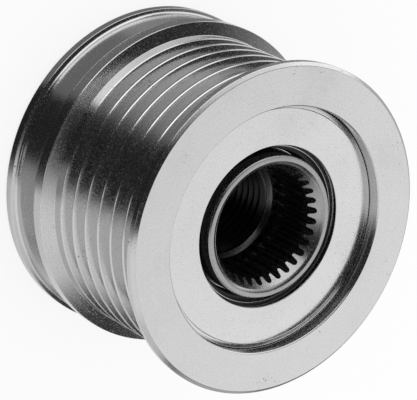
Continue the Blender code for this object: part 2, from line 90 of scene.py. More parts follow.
class Wire:
    """A node socket that takes part in Python sums, each of which adds a Math node."""

    def __init__(self, tree: Tree, socket: bpy.types.NodeSocket) -> None:
        """Wrap one output socket of a tree."""
        self.tree = tree
        self.socket = socket

    def _math(self, operation: str, *values: Wire | float) -> Wire:
        """Add one Math node."""
        return self.tree.add("ShaderNodeMath", dict(enumerate(values)), operation=operation)

    def __add__(self, other: Wire | float) -> Wire:
        """Sum."""
        return self._math("ADD", self, other)

    __radd__ = __add__

    def __sub__(self, other: Wire | float) -> Wire:
        """Difference."""
        return self._math("SUBTRACT", self, other)

    def __rsub__(self, other: float) -> Wire:
        """Difference from a number."""
        return self._math("SUBTRACT", other, self)

    def __mul__(self, other: Wire | float) -> Wire:
        """Product."""
        return self._math("MULTIPLY", self, other)

    __rmul__ = __mul__

    def __truediv__(self, other: Wire | float) -> Wire:
        """Quotient."""
        return self._math("DIVIDE", self, other)

    def __rtruediv__(self, other: float) -> Wire:
        """Quotient of a number."""
        return self._math("DIVIDE", other, self)

    def root(self) -> Wire:
        """Square root."""
        return self._math("SQRT", self)

    def band(self, low: float, high: float) -> Wire:
        """Smooth step from 0 at low to 1 at high."""
        return self.tree.add(
            "ShaderNodeMapRange",
            {"Value": self, "From Min": low, "From Max": high},
            interpolation_type="SMOOTHSTEP",
            clamp=True,
        )

    def within(self, low: float, high: float, soft: float) -> Wire:
        """1 between low and high, fading to 0 over a distance on either side."""
        return self.band(low - soft, low) * (1.0 - self.band(high, high + soft))

    def clipped(self) -> Wire:
        """The value kept between 0 and 1."""
        return self.tree.add("ShaderNodeClamp", {"Value": self})


class Tree:
    """Adds nodes to a node tree."""

    def __init__(self, nodes: bpy.types.NodeTree) -> None:
        """Start on an empty tree."""
        self.nodes = nodes
        nodes.nodes.clear()

    def add(
        self,
        kind: str,
        inputs: dict[str | int, Wire | float | Sequence[float]],
        output: str | int = 0,
        **settings: object,
    ) -> Wire:
        """Add one node.

        Args:
            kind: Type of the node.
            inputs: Values or wires by socket name or number.
            output: The output socket that is returned.
            **settings: Properties of the node, which are set first.

        Returns:
            That output.
        """
        node = self.nodes.nodes.new(kind)
        for name, value in settings.items():
            setattr(node, name, value)
        for name, value in inputs.items():
            if isinstance(value, Wire):
                self.nodes.links.new(value.socket, node.inputs[name])
            else:
                node.inputs[name].default_value = value
        return Wire(self, node.outputs[output]) if node.outputs else Wire(self, None)

    def place(self) -> tuple[Wire, Wire, Wire, Wire]:
        """Read the object coordinates.

        Returns:
            The whole vector, then X, Y and Z.
        """
        whole = self.add("ShaderNodeTexCoord", {}, "Object")
        split = self.add("ShaderNodeSeparateXYZ", {0: whole})
        parts = split.socket.node.outputs
        return whole, *(Wire(self, parts[axis]) for axis in "XYZ")

    def noise(self, place: Wire, scale: float, detail: float = 2.0) -> Wire:
        """Even noise from 0 to 1, with a number of spots per metre."""
        return self.add(
            "ShaderNodeTexNoise",
            {"Vector": place, "Scale": scale, "Detail": detail, "Roughness": 0.55},
        )

    def bump(self, height: Wire, strength: float, under: Wire | None = None) -> Wire:
        """Add one layer of bump.

        Args:
            height: Its height, from 0 to 1.
            strength: Its strength.
            under: The layer below it, if any.

        Returns:
            The normal.
        """
        inputs = {"Strength": strength, "Distance": BUMP_DISTANCE, "Height": height}
        if under is not None:
            inputs["Normal"] = under
        return self.add("ShaderNodeBump", inputs, "Normal")

    def grey(self, tone: Wire) -> Wire:
        """A neutral colour."""
        return self.add("ShaderNodeCombineColor", {0: tone, 1: tone, 2: tone})


def new_material(name: str) -> tuple[bpy.types.Material, Tree]:
    """Make a material.

    Args:
        name: Name of the material.

    Returns:
        The material and its empty tree.
    """
    material = bpy.data.materials.new(name)
    material.use_nodes = True
    return material, Tree(material.node_tree)


def new_object(name: str, data: bpy.types.ID) -> bpy.types.Object:
    """Put a new object in the scene.

    Args:
        name: Name of the object.
        data: Its mesh or camera.

    Returns:
        The object.
    """
    made = bpy.data.objects.new(name, data)
    bpy.context.collection.objects.link(made)
    return made


def to_mesh(bm: bmesh.types.BMesh, name: str) -> bpy.types.Mesh:
    """Turn a bmesh into a mesh.

    Args:
        bm: The bmesh, which is freed.
        name: Name of the mesh.

    Returns:
        The mesh.
    """
    mesh = bpy.data.meshes.new(name)
    bm.to_mesh(mesh)
    bm.free()
    return mesh


@dataclass(frozen=True)
class Zone:
    """A band of a turned piece darkened with painted shade.

    Attributes:
        inner: Smallest radius.
        outer: Largest radius.
        low: Lowest height.
        high: Greatest height.
        soft: Distance over which the band fades out.
        shade: What the metal's tone is multiplied by, as painted shade.
    """

    inner: float
    outer: float
    low: float
    high: float
    soft: float
    shade: float

    def applied(self, tone: Wire, radius: Wire, height: Wire) -> Wire:
        """Darken a tone inside the band with painted shade.

        Args:
            tone: The tone so far.
            radius: Distance from the axis.
            height: Object Z.

        Returns:
            The tone with painted shade.
        """
        mask = radius.within(self.inner, self.outer, self.soft)
        mask = mask * height.within(self.low, self.high, self.soft)
        return tone * (1.0 - mask * (1.0 - self.shade))


class Finish:
    """What a surface is made of."""

    def sockets(self, tree: Tree) -> dict[str | int, Wire | float]:
        """Work out the inputs of the surface's shader by their names."""
        raise NotImplementedError

    def make(self, name: str) -> bpy.types.Material:
        """Build the material.

        Args:
            name: Name of the material.

        Returns:
            The material.
        """
        material, tree = new_material(name)
        shader = tree.add("ShaderNodeBsdfPrincipled", self.sockets(tree))
        tree.add("ShaderNodeOutputMaterial", {"Surface": shader})
        return material


@dataclass(frozen=True)
class TurnedMetal(Finish):
    """Steel with the fine rings that a lathe leaves round the axis.

    Attributes:
        tone: Linear grey of the metal.
        roughness: Middle roughness.
        pitch: Distance between tool marks in metres.
        mark_depth: Strength of the tool marks as bump.
        grain: Strength of the fine pitting as bump.
        mottle: Share by which broad stains darken the metal.
        rings: Share by which the tool marks change its brightness.
        specks: Share of the surface that small dark specks cover.
        mottling: Share by which the fine grain changes its brightness.
        zones: Bands darkened with painted shade.
    """

    tone: float
    roughness: float
    pitch: float
    mark_depth: float
    grain: float = 0.10
    mottle: float = 0.06
    rings: float = 0.06
    specks: float = 0.0
    mottling: float = 0.20
    zones: tuple[Zone, ...] = ()

    def sockets(self, tree: Tree) -> dict[str | int, Wire | float]:
        """Work out the shader's inputs from tool marks, grain, stains and zones of painted shade.

        Args:
            tree: The material's tree.

        Returns:
            The inputs by their names.
        """
        place, x, y, z = tree.place()
        radius = (x * x + y * y).root()
        inverse = 1.0 / self.pitch
        rings = self._marks(tree, (x, y, radius, z), inverse, 1.1)
        streaks = self._marks(tree, (x, y, radius, z), inverse * 0.22, 2.6)
        broad = tree.noise(place, STAINS_PER_METRE, 3.0)
        pits = tree.noise(place, PITS_PER_METRE)
        grain = tree.noise(place, GRAINS_PER_METRE, 3.0)
        shade = (rings - 0.5) * (2.0 * self.rings) + (streaks - 0.5) * (2.2 * self.rings)
        shade = shade + (grain - 0.5) * (2.0 * self.mottling)
        stain = broad.band(0.45, 0.75) * self.mottle
        tone = (1.0 + shade - stain) * self.tone
        rough = (streaks - 0.5) * 0.12 + (broad - 0.5) * 0.10 + self.roughness
        rough = rough + grain.band(0.52, 0.66) * 0.16
        if self.specks:
            dots = self._specks(tree, place)
            tone = tone * (1.0 - dots * 0.5)
            rough = rough + dots * 0.25
        # Painted shade: each zone darkens the metal's colour where a recess lies in shade.
        for zone in self.zones:
            tone = zone.applied(tone, radius, z)
        marks = tree.bump(rings * 0.6 + streaks, self.mark_depth)
        return {
            "Base Color": tree.grey(tone),
            "Metallic": 1.0,
            "Roughness": rough.clipped(),
            "Normal": tree.bump(pits, self.grain, marks),
        }

    @staticmethod
    def _marks(
        tree: Tree, place: tuple[Wire, Wire, Wire, Wire], scale: float, around: float
    ) -> Wire:
        """Noise drawn out round the axis, without a seam.

        Args:
            tree: The material's tree.
            place: Object X and Y, the distance from the axis, and Object Z.
            scale: Marks per metre along the radius and the axis.
            around: How quickly the noise changes on the way round.

        Returns:
            The noise, from 0 to 1.
        """
        x, y, radius, z = place
        safe = radius + 0.01 * MM
        across = tree.add(
            "ShaderNodeCombineXYZ",
            {0: x / safe * around, 1: y / safe * around, 2: radius * scale},
        )
        return tree.add(
            "ShaderNodeTexNoise",
            {"Vector": across, "W": z * scale, "Scale": 1.0, "Detail": 3.0, "Roughness": 0.6},
            noise_dimensions="4D",
        )

    def _specks(self, tree: Tree, place: Wire) -> Wire:
        """Mask of small dark specks in loose groups.

        Args:
            tree: The material's tree.
            place: Object coordinates.

        Returns:
            The mask, 1 in a speck.
        """
        fine = tree.add(
            "ShaderNodeTexVoronoi",
            {"Vector": place, "Scale": SPECKS_PER_METRE},
            "Distance",
        )
        group = tree.noise(place, SPECK_GROUPS_PER_METRE)
        dots = 1.0 - fine.band(0.10, 0.30)
        return dots * group.band(0.72 - self.specks, 0.80 - self.specks)


@dataclass(frozen=True)
class MouldedFinish(Finish):
    """Rubber or nylon with a fine moulded grain.

    Attributes:
        colour: Linear colour.
        roughness: Middle roughness.
        grain: Strength of the grain as bump.
    """

    colour: tuple[float, float, float]
    roughness: float
    grain: float

    def sockets(self, tree: Tree) -> dict[str | int, Wire | float]:
        """Work out the shader's inputs from the grain.

        Args:
            tree: The material's tree.

        Returns:
            The inputs by their names.
        """
        place = tree.place()[0]
        grain = tree.noise(place, MOULD_GRAINS_PER_METRE, 3.0)
        broad = tree.noise(place, MOULD_CLOUDS_PER_METRE)
        shade = (broad - 0.5) * 0.3 + (grain - 0.5) * 0.12 + 1.0
        shades = {number: shade * part for number, part in enumerate(self.colour)}
        return {
            "Base Color": tree.add("ShaderNodeCombineColor", shades),
            "Roughness": ((broad - 0.5) * 0.12 + self.roughness).clipped(),
            "Normal": tree.bump(grain, self.grain),
        }


# Painted shade deep in the hub's bore, over the serrations, the thread and the shoulder.
PAINTED_BORE_SHADE = (
    Zone(0.0, 10.4 * MM, 1.0 * MM, 31.0 * MM, 1.2 * MM, 0.60),
    Zone(0.0, 8.5 * MM, 1.0 * MM, 23.6 * MM, 0.5 * MM, 0.10),
    Zone(8.3 * MM, 10.4 * MM, 23.4 * MM, 25.0 * MM, 0.3 * MM, 0.45),
)

FINISHES: dict[Slot, Finish] = {
    Slot.RING: TurnedMetal(0.63, 0.15, 0.16 * MM, 0.22, grain=0.16, rings=0.04, specks=0.11),
    Slot.CUP: TurnedMetal(0.68, 0.17, 0.14 * MM, 0.10, mottle=0.04, rings=0.02),
    Slot.HUB: TurnedMetal(0.40, 0.24, 0.16 * MM, 0.20, zones=PAINTED_BORE_SHADE),
    Slot.BEARING: TurnedMetal(0.66, 0.16, 0.08 * MM, 0.10, rings=0.03),
    Slot.SEAL: TurnedMetal(0.50, 0.26, 0.18 * MM, 0.20),
    Slot.SPRING: TurnedMetal(0.45, 0.28, 0.10 * MM, 0.15),
    Slot.RUBBER: MouldedFinish((0.044, 0.044, 0.045), 0.62, 0.35),
    Slot.NYLON: MouldedFinish((0.48, 0.42, 0.28), 0.48, 0.20),
}


class Dresser:
    """Hands out one material for each slot and readies finished pieces."""

    def __init__(self) -> None:
        """Make every finish once."""
        self.materials = {
            slot: finish.make(f"{slot.value}_finish")
            for slot, finish in FINISHES.items()
        }

    def piece(
        self,
        name: str,
        mesh: bpy.types.Mesh,
        slot: Slot,
        body: Body,
        node: str = "",
    ) -> bpy.types.Object:
        """Turn a mesh into a finished piece.

        Args:
            name: Name of the piece.
            mesh: Its mesh, in place.
            slot: Its finish.
            body: The body that it rides on.
            node: The node that it replaces, if any.

        Returns:
            The piece.
        """
        made = new_object(name, mesh)
        mesh.materials.clear()
        mesh.materials.append(self.materials[slot])
        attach(made, body.value)
        if node:
            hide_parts(node)
        LOG.info("%s: %d faces", name, len(mesh.polygons))
        return made

    def carried_over(self, node: str, slot: Slot) -> None:
        """Give a node that stays its finish.

        Args:
            node: Name of the node.
            slot: Its finish.
        """
        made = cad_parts[node]
        made.data.materials.clear()
        made.data.materials.append(self.materials[slot])
        LOG.info("%s: node kept", node)


class Lathe:
    """Turns sections round the axis."""

    nearly_straight = 0.01
    share_of_side = 0.49

    def __init__(self, front: float, segments: int = 192) -> None:
        """Set the height of the ring's front face and the facets round the axis."""
        self.front = front
        self.segments = segments

    @staticmethod
    def rounded(section: Sequence[Corner], steps: int = 3) -> list[Point]:
        """Round the corners of a closed section.

        Args:
            section: Corners as (radius, depth) or (radius, depth, rounding), in order.
            steps: Facets in each rounding.

        Returns:
            The section with its corners rounded.
        """
        count = len(section)
        made: list[Point] = []
        for index, corner in enumerate(section):
            here = Vector(corner[:2])
            rounding = corner[2] if len(corner) > 2 else 0.0
            before = Vector(section[index - 1][:2]) - here
            after = Vector(section[(index + 1) % count][:2]) - here
            half = before.angle(after) / 2
            if rounding <= 0 or abs(half - math.pi / 2) < Lathe.nearly_straight:
                made.append((here.x, here.y))
                continue
            shorter = min(before.length, after.length)
            setback = min(rounding / math.tan(half), shorter * Lathe.share_of_side)
            radius = setback * math.tan(half)
            bisector = (before.normalized() + after.normalized()).normalized()
            centre = here + bisector * (radius / math.sin(half))
            start = here + before.normalized() * setback - centre
            stop = here + after.normalized() * setback - centre
            turn = start.angle_signed(stop)
            for step in range(steps + 1):
                angle = -turn * step / steps
                spun = Matrix.Rotation(angle, 2) @ start
                made.append((centre.x + spun.x, centre.y + spun.y))
        return made

    def turned(self, name: str, section: Sequence[Point]) -> bpy.types.Mesh:
        """Spin a closed section into a ring with clean shading.

        Args:
            name: Name of the mesh.
            section: Corners as (radius, depth).

        Returns:
            The mesh.
        """
        bm = bmesh.new()
        corners = [bm.verts.new((r, 0.0, self.front - d)) for r, d in section]
        edges = [bm.edges.new((corners[i - 1], corners[i])) for i in range(len(corners))]
        bmesh.ops.spin(
            bm,
            geom=corners + edges,
            axis=(0.0, 0.0, 1.0),
            angle=math.tau,
            steps=self.segments,
            use_merge=True,
        )
        return finished_mesh(bm, name)


def finished_mesh(bm: bmesh.types.BMesh, name: str, sharp: float = 34.0) -> bpy.types.Mesh:
    """Turn a closed bmesh into a smooth-shaded mesh with its faces out.

    Args:
        bm: The bmesh, which is freed.
        name: Name of the mesh.
        sharp: Angle in degrees past which an edge stays sharp.

    Returns:
        The mesh.
    """
    bmesh.ops.recalc_face_normals(bm, faces=bm.faces)
    if bm.calc_volume(signed=True) < 0:
        bmesh.ops.reverse_faces(bm, faces=bm.faces)
    mesh = to_mesh(bm, name)
    mesh.shade_smooth()
    mesh.set_sharp_from_angle(angle=math.radians(sharp))
    return mesh


class Pattern:
    """A Geometry Nodes tree that is run once and turned into a plain mesh."""

    kinds = {
        int: "NodeSocketInt",
        float: "NodeSocketFloat",
        bpy.types.Object: "NodeSocketObject",
        bpy.types.Material: "NodeSocketMaterial",
    }

    def __init__(self, name: str, values: dict[str, object]) -> None:
        """Build the tree round what the pattern grows.

        Args:
            name: Name of the tree.
            values: What this piece gives each named input, Material among them.
        """
        self.values = values
        self.group = bpy.data.node_groups.new(name, "GeometryNodeTree")
        self.tree = Tree(self.group)
        sockets = [("Geometry", "OUTPUT", "NodeSocketGeometry")]
        sockets += [(key, "INPUT", self.kinds[type(values[key])]) for key in values]
        for label, side, kind in sockets:
            self.group.interface.new_socket(label, in_out=side, socket_type=kind)
        source = self.tree.add("NodeGroupInput", {}).socket.node
        self.given = {key: Wire(self.tree, source.outputs[key]) for key in values}
        realized = self.tree.add("GeometryNodeRealizeInstances", {0: self.grown()})
        dressed = self.tree.add(
            "GeometryNodeSetMaterial", {0: realized, "Material": self.given["Material"]}
        )
        self.tree.add("NodeGroupOutput", {0: dressed})

    def grown(self) -> Wire:
        """Add the nodes of the pattern itself and return its geometry."""
        raise NotImplementedError

    def bake(self, name: str, sharp: float) -> bpy.types.Mesh:
        """Run the tree on an empty mesh, then merge doubles and point the faces out.

        Args:
            name: Name of the mesh that comes out.
            sharp: Angle in degrees past which an edge stays sharp.

        Returns:
            A closed mesh.
        """
        host = new_object(name, bpy.data.meshes.new(name))
        modifier = host.modifiers.new("pattern", "NODES")
        modifier.node_group = self.group
        for item in self.group.interface.items_tree:
            if item.name in self.values:
                modifier[item.identifier] = self.values[item.name]
        graph = bpy.context.evaluated_depsgraph_get()
        graph.update()
        mesh = bpy.data.meshes.new_from_object(host.evaluated_get(graph))
        bpy.data.objects.remove(host)
        bm = bmesh.new()
        bm.from_mesh(mesh)
        bmesh.ops.remove_doubles(bm, verts=bm.verts, dist=0.002 * MM)
        return finished_mesh(bm, name, sharp)


class RingPattern(Pattern):
    """Copies of one shape, already in its first place, set evenly round the axis."""

    def grown(self) -> Wire:
        """Set copies on points in the axis, each turned further.

        Returns:
            The copies, as instances.
        """
        count = self.given["Count"]
        points = self.tree.add("GeometryNodePoints", {"Count": count})
        shape = self.tree.add(
            "GeometryNodeObjectInfo", {"Object": self.given["Shape"]}, "Geometry"
        )
        turn = self.tree.add("GeometryNodeInputIndex", {}) * math.tau / count
        spin = self.tree.add("ShaderNodeCombineXYZ", {2: turn})
        return self.tree.add(
            "GeometryNodeInstanceOnPoints",
            {"Points": points, "Instance": shape, "Rotation": spin},
        )


class ThreadPattern(Pattern):
    """A right-handed ridge wound up the inside of a bore, which runs out at its top."""

    steps_per_turn = 72
    turns_of_run_out = 0.55
    foot_share = 0.94
    crest_share = 0.14

    def grown(self) -> Wire:
        """Sweep the ridge's section along the helix and lift it to its place.

        Returns:
            The ridge.
        """
        radius, height, pitch, turns, bottom = (
            self.given[key] for key in ("Radius", "Ridge Height", "Pitch", "Turns", "Bottom")
        )
        helix = self.tree.add(
            "GeometryNodeCurveSpiral",
            {
                "Resolution": self.steps_per_turn,
                "Rotations": turns,
                "Start Radius": radius,
                "End Radius": radius,
                "Height": pitch * turns,
                "Reverse": True,
            },
        )
        upright = self.tree.add("GeometryNodeSetCurveNormal", {"Curve": helix}, mode="Z_UP")
        way = self.tree.add("GeometryNodeSplineParameter", {}, "Factor")
        share = ((1.0 - way) * turns).band(-0.05, self.turns_of_run_out)
        running_out = self.tree.add(
            "GeometryNodeSetCurveRadius", {"Curve": upright, "Radius": share}
        )
        half = pitch * (self.foot_share / 2)
        crest = self.crest_share
        corners = [(0.0, -1.0), (-1.0, -crest), (-1.0, crest), (0.0, 1.0)]
        points = {
            f"Point {number}": self.tree.add(
                "ShaderNodeCombineXYZ", {0: height * inward, 1: half * along}
            )
            for number, (inward, along) in enumerate(corners, 1)
        }
        outline = self.tree.add(
            "GeometryNodeCurvePrimitiveQuadrilateral", points, mode="POINTS"
        )
        ridge = self.tree.add(
            "GeometryNodeCurveToMesh",
            {"Curve": running_out, "Profile Curve": outline, "Fill Caps": True},
        )
        lift = self.tree.add("ShaderNodeCombineXYZ", {2: bottom})
        return self.tree.add("GeometryNodeTransform", {"Geometry": ridge, "Translation": lift})


@dataclass(frozen=True)
class Workshop:
    """The lathe and the finishes that the sub-assemblies share.

    Attributes:
        lathe: The lathe.
        dresser: Where the finishes come from.
    """

    lathe: Lathe
    dresser: Dresser

    def turn(
        self,
        name: str,
        section: Sequence[Corner],
        slot: Slot,
        body: Body,
        node: str = "",
        steps: int = 3,
    ) -> None:
        """Turn a section into a finished piece whose broad faces are shaded flat.

        Args:
            name: Name of the piece.
            section: Its corners, as Lathe.rounded takes them.
            slot: Its finish.
            body: The body that it rides on.
            node: The node that it replaces, if any.
            steps: Facets in each rounding.
        """
        mesh = self.lathe.turned(name, Lathe.rounded(section, steps))
        made = self.dresser.piece(name, mesh, slot, body, node)
        modifier = made.modifiers.new("face_weight", "WEIGHTED_NORMAL")
        modifier.keep_sharp = True
        modifier.weight = 100


@dataclass
class SubAssembly:
    """A part of the pulley that a workshop makes.

    Attributes:
        shop: The workshop.
    """

    shop: Workshop


@dataclass
class GroovedRing(SubAssembly):
    """The grooved ring, turned from one blank.

    Attributes:
        radius: Radius of the flanges.
        crest: Radius of the crests between the grooves.
        floor: Radius of the groove floors.
        bore: Radius of the bore.
        length: Length of the ring.
        first_groove: Depth of the first groove's middle.
        pitch: Distance between grooves.
        grooves: Number of grooves.
        mouth: Width of a groove at the crests.
        flank: Angle of a groove's flanks in degrees.
        edge: Rounding of the crests.
        root: Rounding of the corners at a groove's floor.
        broken: Height of the broken edge behind each groove.
        chamfer: Height of the front flange's chamfer and of its slope behind the rim.
        front_rim: Depth at which the front flange's rim ends.
        land: Length of the land behind the last groove.
        wall: Depth that the rear flange's sloping front wall takes.
        rear_rim: Length of the rear flange's rim.
        channel_high: Drop of the channel behind that rim.
        channel_low: Drop of the channel in front of the lip.
        lip: Length of the rear lip.
    """

    radius: float = 27.5 * MM
    crest: float = 25.3 * MM
    floor: float = 22.55 * MM
    bore: float = 20.46 * MM
    length: float = 37.0 * MM
    first_groove: float = 4.35 * MM
    pitch: float = 3.56 * MM
    grooves: int = 6
    mouth: float = 3.0 * MM
    flank: float = 20.0
    edge: float = 0.34 * MM
    root: float = 0.35 * MM
    broken: float = 0.12 * MM
    chamfer: float = 0.56 * MM
    front_rim: float = 1.55 * MM
    land: float = 1.95 * MM
    wall: float = 0.70 * MM
    rear_rim: float = 2.10 * MM
    channel_high: float = 0.33 * MM
    channel_low: float = 0.88 * MM
    lip: float = 1.60 * MM

    def build(self) -> None:
        """Make the ring."""
        self.shop.turn("grooved_ring", self.section(), Slot.RING, Body.PULLEY, "pulley_ring")

    def section(self) -> list[Corner]:
        """Work out the ring's section.

        Returns:
            Its corners with their roundings.
        """
        slope = math.tan(math.radians(self.flank))
        half = self.mouth / 2
        half_floor = half - slope * (self.crest - self.floor)
        shoulder = self.radius - self.chamfer
        first = self.first_groove - half
        burr = 0.16 * MM
        corners: list[Corner] = [
            (self.bore + burr, 0.0, 0.08 * MM),
            (shoulder, 0.0, 0.12 * MM),
            (self.radius, 0.5 * MM, 0.15 * MM),
            (self.radius, self.front_rim, 0.12 * MM),
            (shoulder, first - slope * (shoulder - self.crest), 0.20 * MM),
        ]
        for index in range(self.grooves):
            middle = self.first_groove + index * self.pitch
            if index:
                corners.append((self.crest, middle - half, self.edge))
            corners.append((self.floor, middle - half_floor, self.root))
            corners.append((self.floor, middle + half_floor, self.root))
            start = middle + half - slope * self.broken
            corners.append((self.crest - self.broken, start, 0.10 * MM))
            corners.append((self.crest, middle + half + 0.15 * MM, 0.10 * MM))
        flange = middle + half + self.land
        rim_start = flange + self.wall
        rim_end = rim_start + self.rear_rim
        lip = self.length - self.lip
        rear_chamfer = 0.2 * MM
        bore_chamfer = 0.5 * MM
        corners += [
            (self.crest, flange, 0.12 * MM),
            (self.radius - 0.06 * MM, rim_start - 0.02 * MM, 0.04 * MM),
            (self.radius, rim_start + 0.08 * MM, 0.04 * MM),
            (self.radius, rim_end, 0.10 * MM),
            (self.radius - self.channel_high, rim_end + 0.60 * MM, 1.50 * MM),
            (self.radius - self.channel_low, lip - 0.30 * MM, 0.80 * MM),
            (self.radius, lip, 0.12 * MM),
            (self.radius, self.length - rear_chamfer, 0.08 * MM),
            (self.radius - rear_chamfer, self.length, 0.08 * MM),
            (self.bore + bore_chamfer, self.length, 0.06 * MM),
            (self.bore, self.length - bore_chamfer, 0.06 * MM),
            (self.bore, burr, 0.08 * MM),
        ]
        return corners


@dataclass
class DrawnCup(SubAssembly):
    """The drawn cup pressed in the ring's bore.

    Attributes:
        outer: Outer radius.
        wall: Thickness of the sheet.
        front: Depth of its front face.
        rear: Depth of its rear face.
        front_bore: Radius of the front lip's bore.
        rear_bore: Radius of the rear lip's bore.
        step: Radius at which the front face's shallow outer step begins.
        step_drop: Depth of that step.
        corner: Radius of the rear bend.
    """

    outer: float = 20.40 * MM
    wall: float = 1.50 * MM
    front: float = 2.14 * MM
    rear: float = 36.40 * MM
    front_bore: float = 13.49 * MM
    rear_bore: float = 15.70 * MM
    step: float = 19.55 * MM
    step_drop: float = 0.05 * MM
    corner: float = 1.60 * MM

    def build(self) -> None:
        """Make the cup."""
        inner = self.outer - self.wall
        corners = [
            (self.front_bore, self.front, 0.12 * MM),
            (self.step, self.front, 0.05 * MM),
            (self.step + 0.12 * MM, self.front + self.step_drop, 0.05 * MM),
            (self.outer, self.front + self.step_drop + 0.01 * MM, 0.18 * MM),
            (self.outer, self.rear, self.corner),
            (self.rear_bore, self.rear, 0.20 * MM),
            (self.rear_bore, self.rear - self.wall, 0.10 * MM),
            (inner, self.rear - self.wall, 0.10 * MM),
            (inner, self.front + self.wall, 0.10 * MM),
            (self.front_bore, self.front + self.wall, 0.10 * MM),
        ]
        self.shop.turn("clutch_cup", corners, Slot.CUP, Body.PULLEY, "outer_cup", 4)


@dataclass
class SplinedHub(SubAssembly):
    """The hub with its serrations and thread.

    Attributes:
        radius: Outer radius.
        face_bore: Inner radius of the front face.
        mouth: Radius at which the lead-in cone begins.
        root: Radius at the bottom of the spaces between the teeth.
        tip: Radius at the tips of the teeth.
        teeth: Number of teeth.
        tip_share: Half the width of a tooth's tip, as a share of the tooth pitch.
        foot_share: Half the width of its foot, in the same way.
        fillet: Radius of the spaces' bottoms.
        front: Depth of the front face.
        rear: Depth of the rear face.
        mouth_depth: Depth of the chamfer in front of the cone.
        lead_in: Half angle of the cone in degrees.
        serration_end: Depth at which the teeth end.
        shoulder: Depth of the shoulder behind them.
        countersink: Radius of the thread's countersink.
        thread_major: Major radius of the thread.
        thread_minor: Minor radius of the thread.
        thread_pitch: Pitch of the thread.
        thread_end: Depth at which the thread ends.
        pilot: Radius of the plain bore at the rear.
        pilot_length: Length of that bore.
    """

    radius: float = 11.86 * MM
    face_bore: float = 10.98 * MM
    mouth: float = 10.42 * MM
    root: float = 10.04 * MM
    tip: float = 9.15 * MM
    teeth: int = 33
    tip_share: float = 0.11
    foot_share: float = 0.20
    fillet: float = 0.42 * MM
    front: float = 1.84 * MM
    rear: float = 37.50 * MM
    mouth_depth: float = 0.30 * MM
    lead_in: float = 35.0
    serration_end: float = 12.34 * MM
    shoulder: float = 12.94 * MM
    countersink: float = 8.70 * MM
    thread_major: float = 8.02 * MM
    thread_minor: float = 7.20 * MM
    thread_pitch: float = 1.50 * MM
    thread_end: float = 32.9 * MM
    pilot: float = 8.55 * MM
    pilot_length: float = 4.0 * MM

    def build(self) -> None:
        """Make the hub's three pieces."""
        self._body()
        self._serrations()
        self._thread()

    @property
    def thread_start(self) -> float:
        """Depth at which the countersink meets the thread."""
        return self.shoulder + self.countersink - self.thread_major

    def cone_depth(self, radius: float) -> float:
        """Depth of the lead-in cone at a radius."""
        rise = (self.mouth - radius) / math.tan(math.radians(self.lead_in))
        return self.front + self.mouth_depth + rise

    def _body(self) -> None:
        """Turn the hub's body."""
        seat = self.root + 0.10 * MM
        cone_top = self.mouth - 0.02 * MM
        line = self.front + self.mouth_depth
        chamfer = 0.20 * MM
        rear_chamfer = 0.60 * MM
        rear_step = self.rear - self.pilot_length
        corners = [
            (self.face_bore, self.front, 0.04 * MM),
            (self.radius - chamfer, self.front, 0.08 * MM),
            (self.radius, self.front + chamfer, 0.08 * MM),
            (self.radius, self.rear - chamfer, 0.08 * MM),
            (self.radius - chamfer, self.rear, 0.08 * MM),
            (self.pilot + rear_chamfer, self.rear, 0.06 * MM),
            (self.pilot, self.rear - rear_chamfer, 0.06 * MM),
            (self.pilot, rear_step, 0.10 * MM),
            (self.thread_major, rear_step - 0.20 * MM, 0.05 * MM),
            (self.thread_major, self.thread_start, 0.05 * MM),
            (self.countersink, self.shoulder, 0.05 * MM),
            (seat, self.shoulder, 0.10 * MM),
            (seat, self.cone_depth(seat)),
            (cone_top, self.cone_depth(cone_top)),
            (self.mouth + 0.03 * MM, line + 0.05 * MM),
            (self.mouth + 0.08 * MM, line - 0.02 * MM),
        ]
        self.shop.turn("splined_hub", corners, Slot.HUB, Body.HUB, "hub")

    def _tooth_outline(self) -> list[Point]:
        """Draw half a space, a tooth and half a space, from side to side.

        Returns:
            Points as (angle, radius).
        """
        pitch = math.tau / self.teeth
        tip_half = self.tip_share * pitch
        foot_half = self.foot_share * pitch
        side: list[Point] = [(tip_half * 0.6, self.tip), (tip_half, self.tip + 0.03 * MM)]
        foot = self.root - self.fillet
        flank_steps = 3
        fillet_steps = 5
        for step in range(1, flank_steps + 1):
            share = step / flank_steps
            angle = tip_half + (foot_half - tip_half) * share
            side.append((angle, self.tip + (foot - self.tip) * share))
        for step in range(1, fillet_steps + 1):
            turn = math.pi / 2 * step / fillet_steps
            angle = foot_half + (pitch / 2 - foot_half) * (1 - math.cos(turn))
            side.append((angle, foot + self.fillet * math.sin(turn)))
        return [(-a, r) for a, r in reversed(side)] + side

    def _serrations(self) -> None:
        """Build one tooth and let Geometry Nodes set it round the bore."""
        skin = self.root + 0.12 * MM
        top = self.shop.lathe.front
        bm = bmesh.new()
        rows: list[list[bmesh.types.BMVert]] = []
        for angle, radius in self._tooth_outline():
            stations = [
                (skin, self.cone_depth(skin) + 0.01 * MM),
                (radius, self.cone_depth(radius) + 0.01 * MM),
                (radius, self.serration_end),
                (skin, self.serration_end),
            ]
            cosine = math.cos(angle)
            sine = math.sin(angle)
            row = [bm.verts.new((r * cosine, r * sine, top - d)) for r, d in stations]
            rows.append(row)
        for row, after in zip(rows, rows[1:]):
            for index in range(len(row)):
                follow = (index + 1) % len(row)
                bm.faces.new((row[index], row[follow], after[follow], after[index]))
        bmesh.ops.recalc_face_normals(bm, faces=bm.faces)
        tooth = new_object("hub_tooth", to_mesh(bm, "hub_tooth"))
        sizes = {"Count": self.teeth, "Shape": tooth}
        self._grow("hub_serrations", RingPattern, sizes, 25.0)
        bpy.data.objects.remove(tooth)

    def _thread(self) -> None:
        """Wind the thread's ridge down the bore."""
        foot = self.thread_major + 0.10 * MM
        sizes = {
            "Radius": foot,
            "Ridge Height": foot - self.thread_minor,
            "Pitch": self.thread_pitch,
            "Turns": (self.thread_end - self.thread_start) / self.thread_pitch,
            "Bottom": self.shop.lathe.front - self.thread_end,
        }
        self._grow("hub_thread", ThreadPattern, sizes, 30.0)

